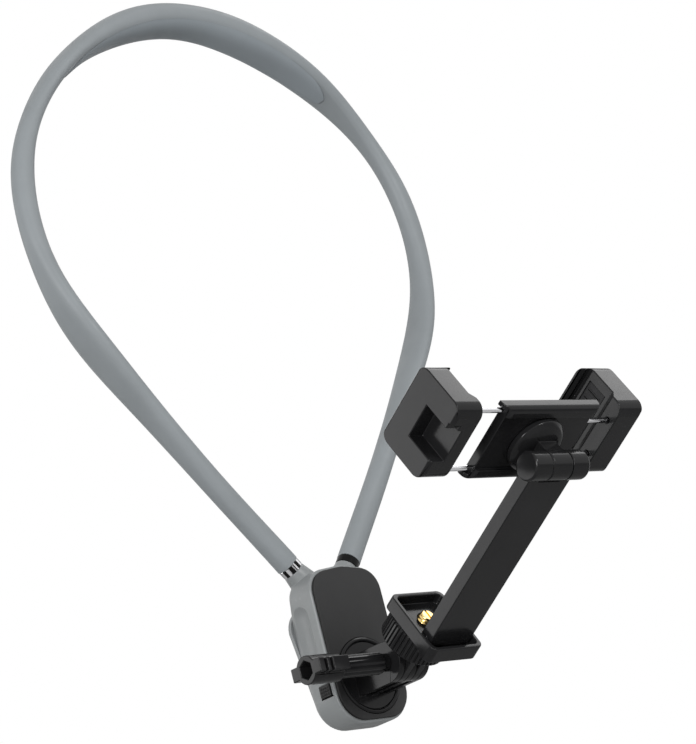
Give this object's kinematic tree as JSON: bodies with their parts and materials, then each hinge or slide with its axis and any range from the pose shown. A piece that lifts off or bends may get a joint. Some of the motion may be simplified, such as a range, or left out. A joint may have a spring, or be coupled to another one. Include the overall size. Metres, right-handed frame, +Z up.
{
  "type": "neck phone holder",
  "caption": "Bendable neck loop with a chest housing, tilting joint, folding arm and sprung two-jaw phone clamp.",
  "frame": {"origin": "centre of the housing's rear face, where the chest pad rests on the wearer", "axes": "+Y out of the rear face towards the wearer, -Y to the front, +Z up, +X to the wearer's left as worn, which is the right of the holder seen from the front"},
  "size_m": [0.2024, 0.1421, 0.2992],
  "materials": {
    "band_grey": "matt soft-touch silicone, blue-grey",
    "pad_grey": "matt soft pad",
    "core_wire": "plain wire",
    "ring_bright": "polished with dark stripes",
    "ring_dark": "gloss black",
    "shell_silver": "satin silver grey",
    "panel_black": "fine satin black",
    "black_plastic": "semi-gloss black",
    "button_black": "dimpled black",
    "spring_steel": "spring wire",
    "nut_steel": "bright plated",
    "rod_chrome": "polished",
    "stud_brass": "turned brass",
    "pad_rubber": "matt black rubber"
  },
  "bodies": {
    "housing": {"band_sleeve": "band_grey", "band_core": "core_wire", "neck_pad": "pad_grey", "left_trim_ring": "ring_bright", "right_trim_ring": "ring_dark", "rear_shell": "shell_silver", "front_panel": "panel_black", "chest_pad": "shell_silver", "bezel_ring": "black_plastic", "button_springs": "spring_steel"},
    "left_release": {"left_button": "button_black"},
    "right_release": {"right_button": "button_black"},
    "turntable": {"turntable": "black_plastic", "turntable_hub": "black_plastic", "hex_nut": "nut_steel"},
    "thumbscrew": {"screw_shaft": "nut_steel", "thumbscrew_knob": "black_plastic"},
    "adapter": {"tilt_adapter": "black_plastic", "tripod_stud": "stud_brass"},
    "wheel": {"lock_wheel": "black_plastic"},
    "tray": {"hinge_tray": "black_plastic", "arm_pin": "spring_steel"},
    "arm": {"arm": "black_plastic", "top_pin": "spring_steel"},
    "neck": {"swivel_neck": "black_plastic", "swivel_post": "spring_steel"},
    "clamp": {"clamp_body": "black_plastic", "phone_pad": "pad_rubber", "clamp_springs": "spring_steel"},
    "jaw_left": {"left_jaw": "black_plastic", "left_jaw_rods": "rod_chrome", "left_jaw_pad": "pad_rubber"},
    "jaw_right": {"right_jaw": "black_plastic", "right_jaw_rods": "rod_chrome", "right_jaw_pad": "pad_rubber"}
  },
  "joints": [
    {"name": "turntable_spin", "type": "hinge", "parent": "housing", "child": "turntable", "pos_m": [0, -0.0192, -0.0129], "axis": [0, -1, 0], "continuous": true},
    {"name": "chest_tilt", "type": "hinge", "parent": "turntable", "child": "adapter", "pos_m": [0, -0.037, -0.0129], "axis": [1, 0, 0], "range_deg": [-50, 75]},
    {"name": "thumbscrew_turn", "type": "hinge", "parent": "turntable", "child": "thumbscrew", "pos_m": [0, -0.037, -0.0129], "axis": [-1, 0, 0], "continuous": true},
    {"name": "wheel_turn", "type": "hinge", "parent": "adapter", "child": "wheel", "pos_m": [0, -0.04751, -0.0071], "axis": [0, -0.8755, 0.4833], "continuous": true},
    {"name": "tray_turn", "type": "hinge", "parent": "adapter", "child": "tray", "pos_m": [0, -0.05451, -0.00323], "axis": [0, -0.8755, 0.4833], "continuous": true},
    {"name": "arm_fold", "type": "hinge", "parent": "tray", "child": "arm", "pos_m": [0, -0.06229, -0.01174], "axis": [-1, 0, 0], "range_deg": [-25, 65]},
    {"name": "clamp_tilt", "type": "hinge", "parent": "arm", "child": "neck", "pos_m": [0, -0.13393, 0.02713], "axis": [1, 0, 0], "range_deg": [-15, 75]},
    {"name": "clamp_swivel", "type": "hinge", "parent": "neck", "child": "clamp", "pos_m": [0, -0.12868, 0.03663], "axis": [0, 0.4833, 0.8755], "range_deg": [0, 90]},
    {"name": "left_jaw_slide", "type": "slide", "parent": "clamp", "child": "jaw_left", "axis": [-1, 0, 0], "range_m": [-0.009, 0.01]},
    {"name": "right_jaw_slide", "type": "slide", "parent": "clamp", "child": "jaw_right", "axis": [1, 0, 0], "range_m": [-0.009, 0.01]},
    {"name": "left_button_press", "type": "slide", "parent": "housing", "child": "left_release", "axis": [1, 0, 0], "range_m": [0, 0.0012], "stiffness_N_per_m": 800, "springref_m": -0.0006},
    {"name": "right_button_press", "type": "slide", "parent": "housing", "child": "right_release", "axis": [-1, 0, 0], "range_m": [0, 0.0012], "stiffness_N_per_m": 800, "springref_m": -0.0006}
  ]
}
